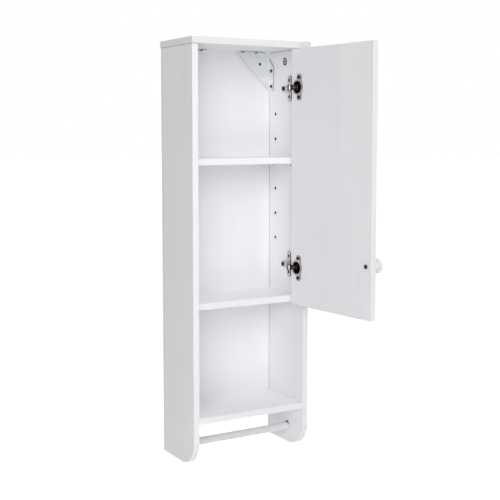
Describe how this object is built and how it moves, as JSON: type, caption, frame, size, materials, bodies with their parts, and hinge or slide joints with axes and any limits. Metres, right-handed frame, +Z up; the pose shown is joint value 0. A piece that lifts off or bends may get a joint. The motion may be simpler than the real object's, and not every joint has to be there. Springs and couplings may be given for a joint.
{
  "type": "wall cabinet for toilet rolls",
  "caption": "Tall narrow wall cabinet with an inset door on concealed hinges, shelves, an open lower compartment and a roll rail between rounded side panels.",
  "frame": {"origin": "on the wall plane, midway between the two wall screw holes", "axes": "+Z up along the cabinet's height, +Y into the wall, so the door and the open front face -Y; +X towards the side panel that carries the door, on the right seen from the front"},
  "size_m": [0.2753, 0.3464, 0.8],
  "materials": {
    "white_board": "white foil or lacquer on board, satin",
    "white_round_wood": "white lacquer on turned wood, satin",
    "bright_steel": "zinc plated",
    "galvanised_sheet": "galvanised sheet, slightly bluish",
    "nickel": "nickel plated, half bright",
    "dark_metal": "blackened",
    "beech": "bare beech"
  },
  "bodies": {
    "cabinet": {"left_side_panel": "white_board", "right_side_panel": "white_board", "top_panel": "white_board", "back_panel": "white_board", "middle_shelf": "white_board", "bottom_shelf": "white_board", "adjustable_shelf": "white_board", "shelf_pins": "bright_steel", "upper_mounting_plate": "nickel", "lower_mounting_plate": "nickel", "plate_screws": "nickel", "upper_hinge_arm": "nickel", "lower_hinge_arm": "nickel", "arm_fixing_screws": "dark_metal", "arm_adjusting_screws": "bright_steel", "arm_pins": "bright_steel", "left_corner_bracket": "galvanised_sheet", "right_corner_bracket": "galvanised_sheet", "bracket_screws": "bright_steel", "cam_locks": "dark_metal", "cam_bolts": "bright_steel", "wooden_dowels": "beech", "back_panel_nails": "bright_steel"},
    "hinge_links": {"upper_hinge_link": "nickel", "lower_hinge_link": "nickel"},
    "door": {"door_panel": "white_board", "door_knob": "white_round_wood", "knob_screw": "dark_metal", "upper_hinge_cup": "nickel", "lower_hinge_cup": "nickel", "cup_screws": "nickel", "cup_pins": "bright_steel"},
    "roll_rail": {"roll_rail": "white_round_wood"}
  },
  "joints": [
    {"name": "link_turn", "type": "hinge", "parent": "cabinet", "child": "hinge_links", "pos_m": [0.088, -0.1226, 0], "axis": [0, 0, 1], "range_deg": [0, 29.4]},
    {"name": "door_hinge", "type": "hinge", "parent": "hinge_links", "child": "door", "pos_m": [0.09965, -0.13146, 0], "axis": [0, 0, 1], "range_deg": [-125.4, 0]},
    {"name": "rail_spin", "type": "hinge", "parent": "cabinet", "child": "roll_rail", "pos_m": [0, -0.076, -0.7313], "axis": [1, 0, 0], "continuous": true}
  ],
  "couplings": [
    {"joint": "link_turn", "follows": "door_hinge", "ratio": -0.23445}
  ]
}
